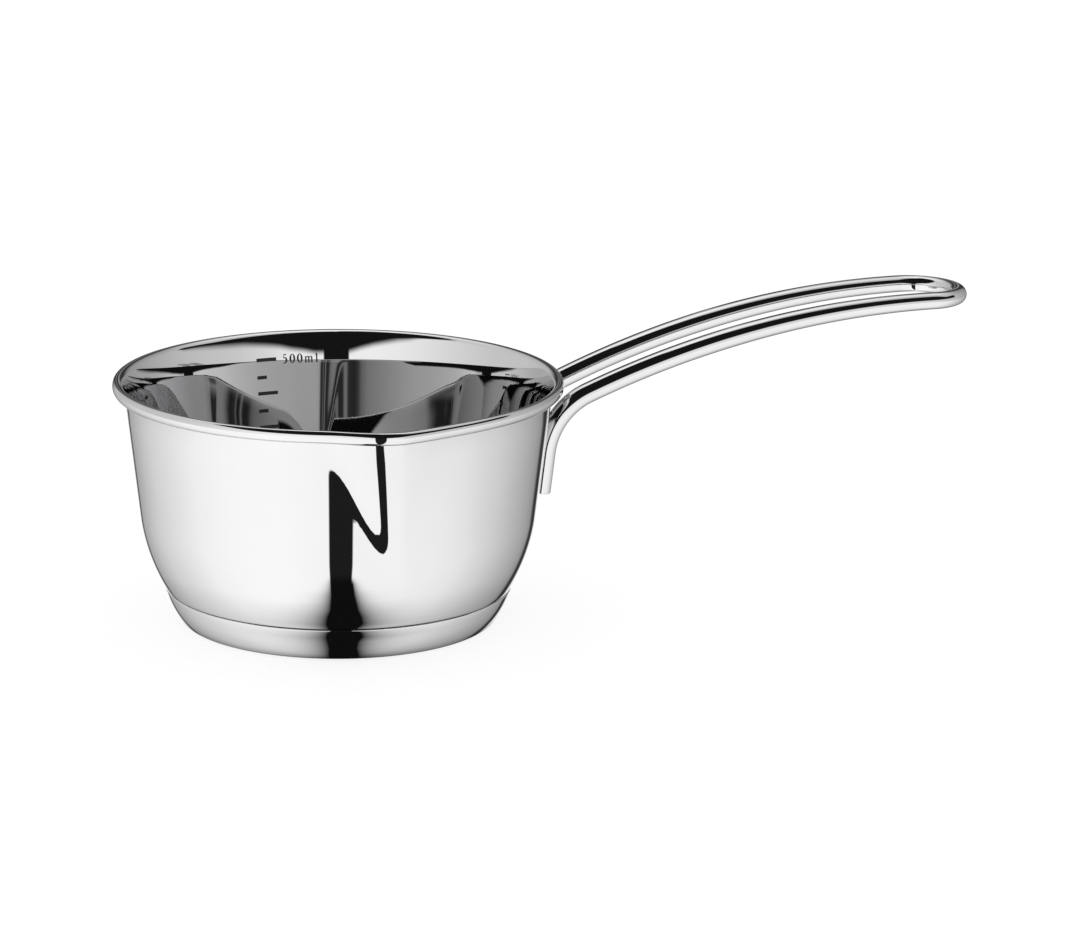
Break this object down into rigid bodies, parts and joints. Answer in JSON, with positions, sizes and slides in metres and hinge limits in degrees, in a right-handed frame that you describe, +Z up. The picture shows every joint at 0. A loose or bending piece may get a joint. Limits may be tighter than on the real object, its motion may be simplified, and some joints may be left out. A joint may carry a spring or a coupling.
{
  "type": "saucepan",
  "caption": "Small polished steel milk saucepan with rolled rim, side pouring spout, capped heat-spreading base and open loop rod handle.",
  "frame": {"origin": "centre of the underside of the base, on the axis of the bowl, where the pan rests on a hob or table", "axes": "+Z up along the axis of the bowl, +X out along the middle of the handle, so the pouring spout points close to -Y"},
  "size_m": [0.2528, 0.1301, 0.0818],
  "materials": {
    "bowl_steel": "polished",
    "core_aluminium": "satin",
    "cap_steel": "polished",
    "handle_steel": "polished"
  },
  "bodies": {
    "root": {"bowl": "bowl_steel", "base_core": "core_aluminium", "base_cap": "cap_steel", "handle_loop": "handle_steel"}
  },
  "joints": []
}
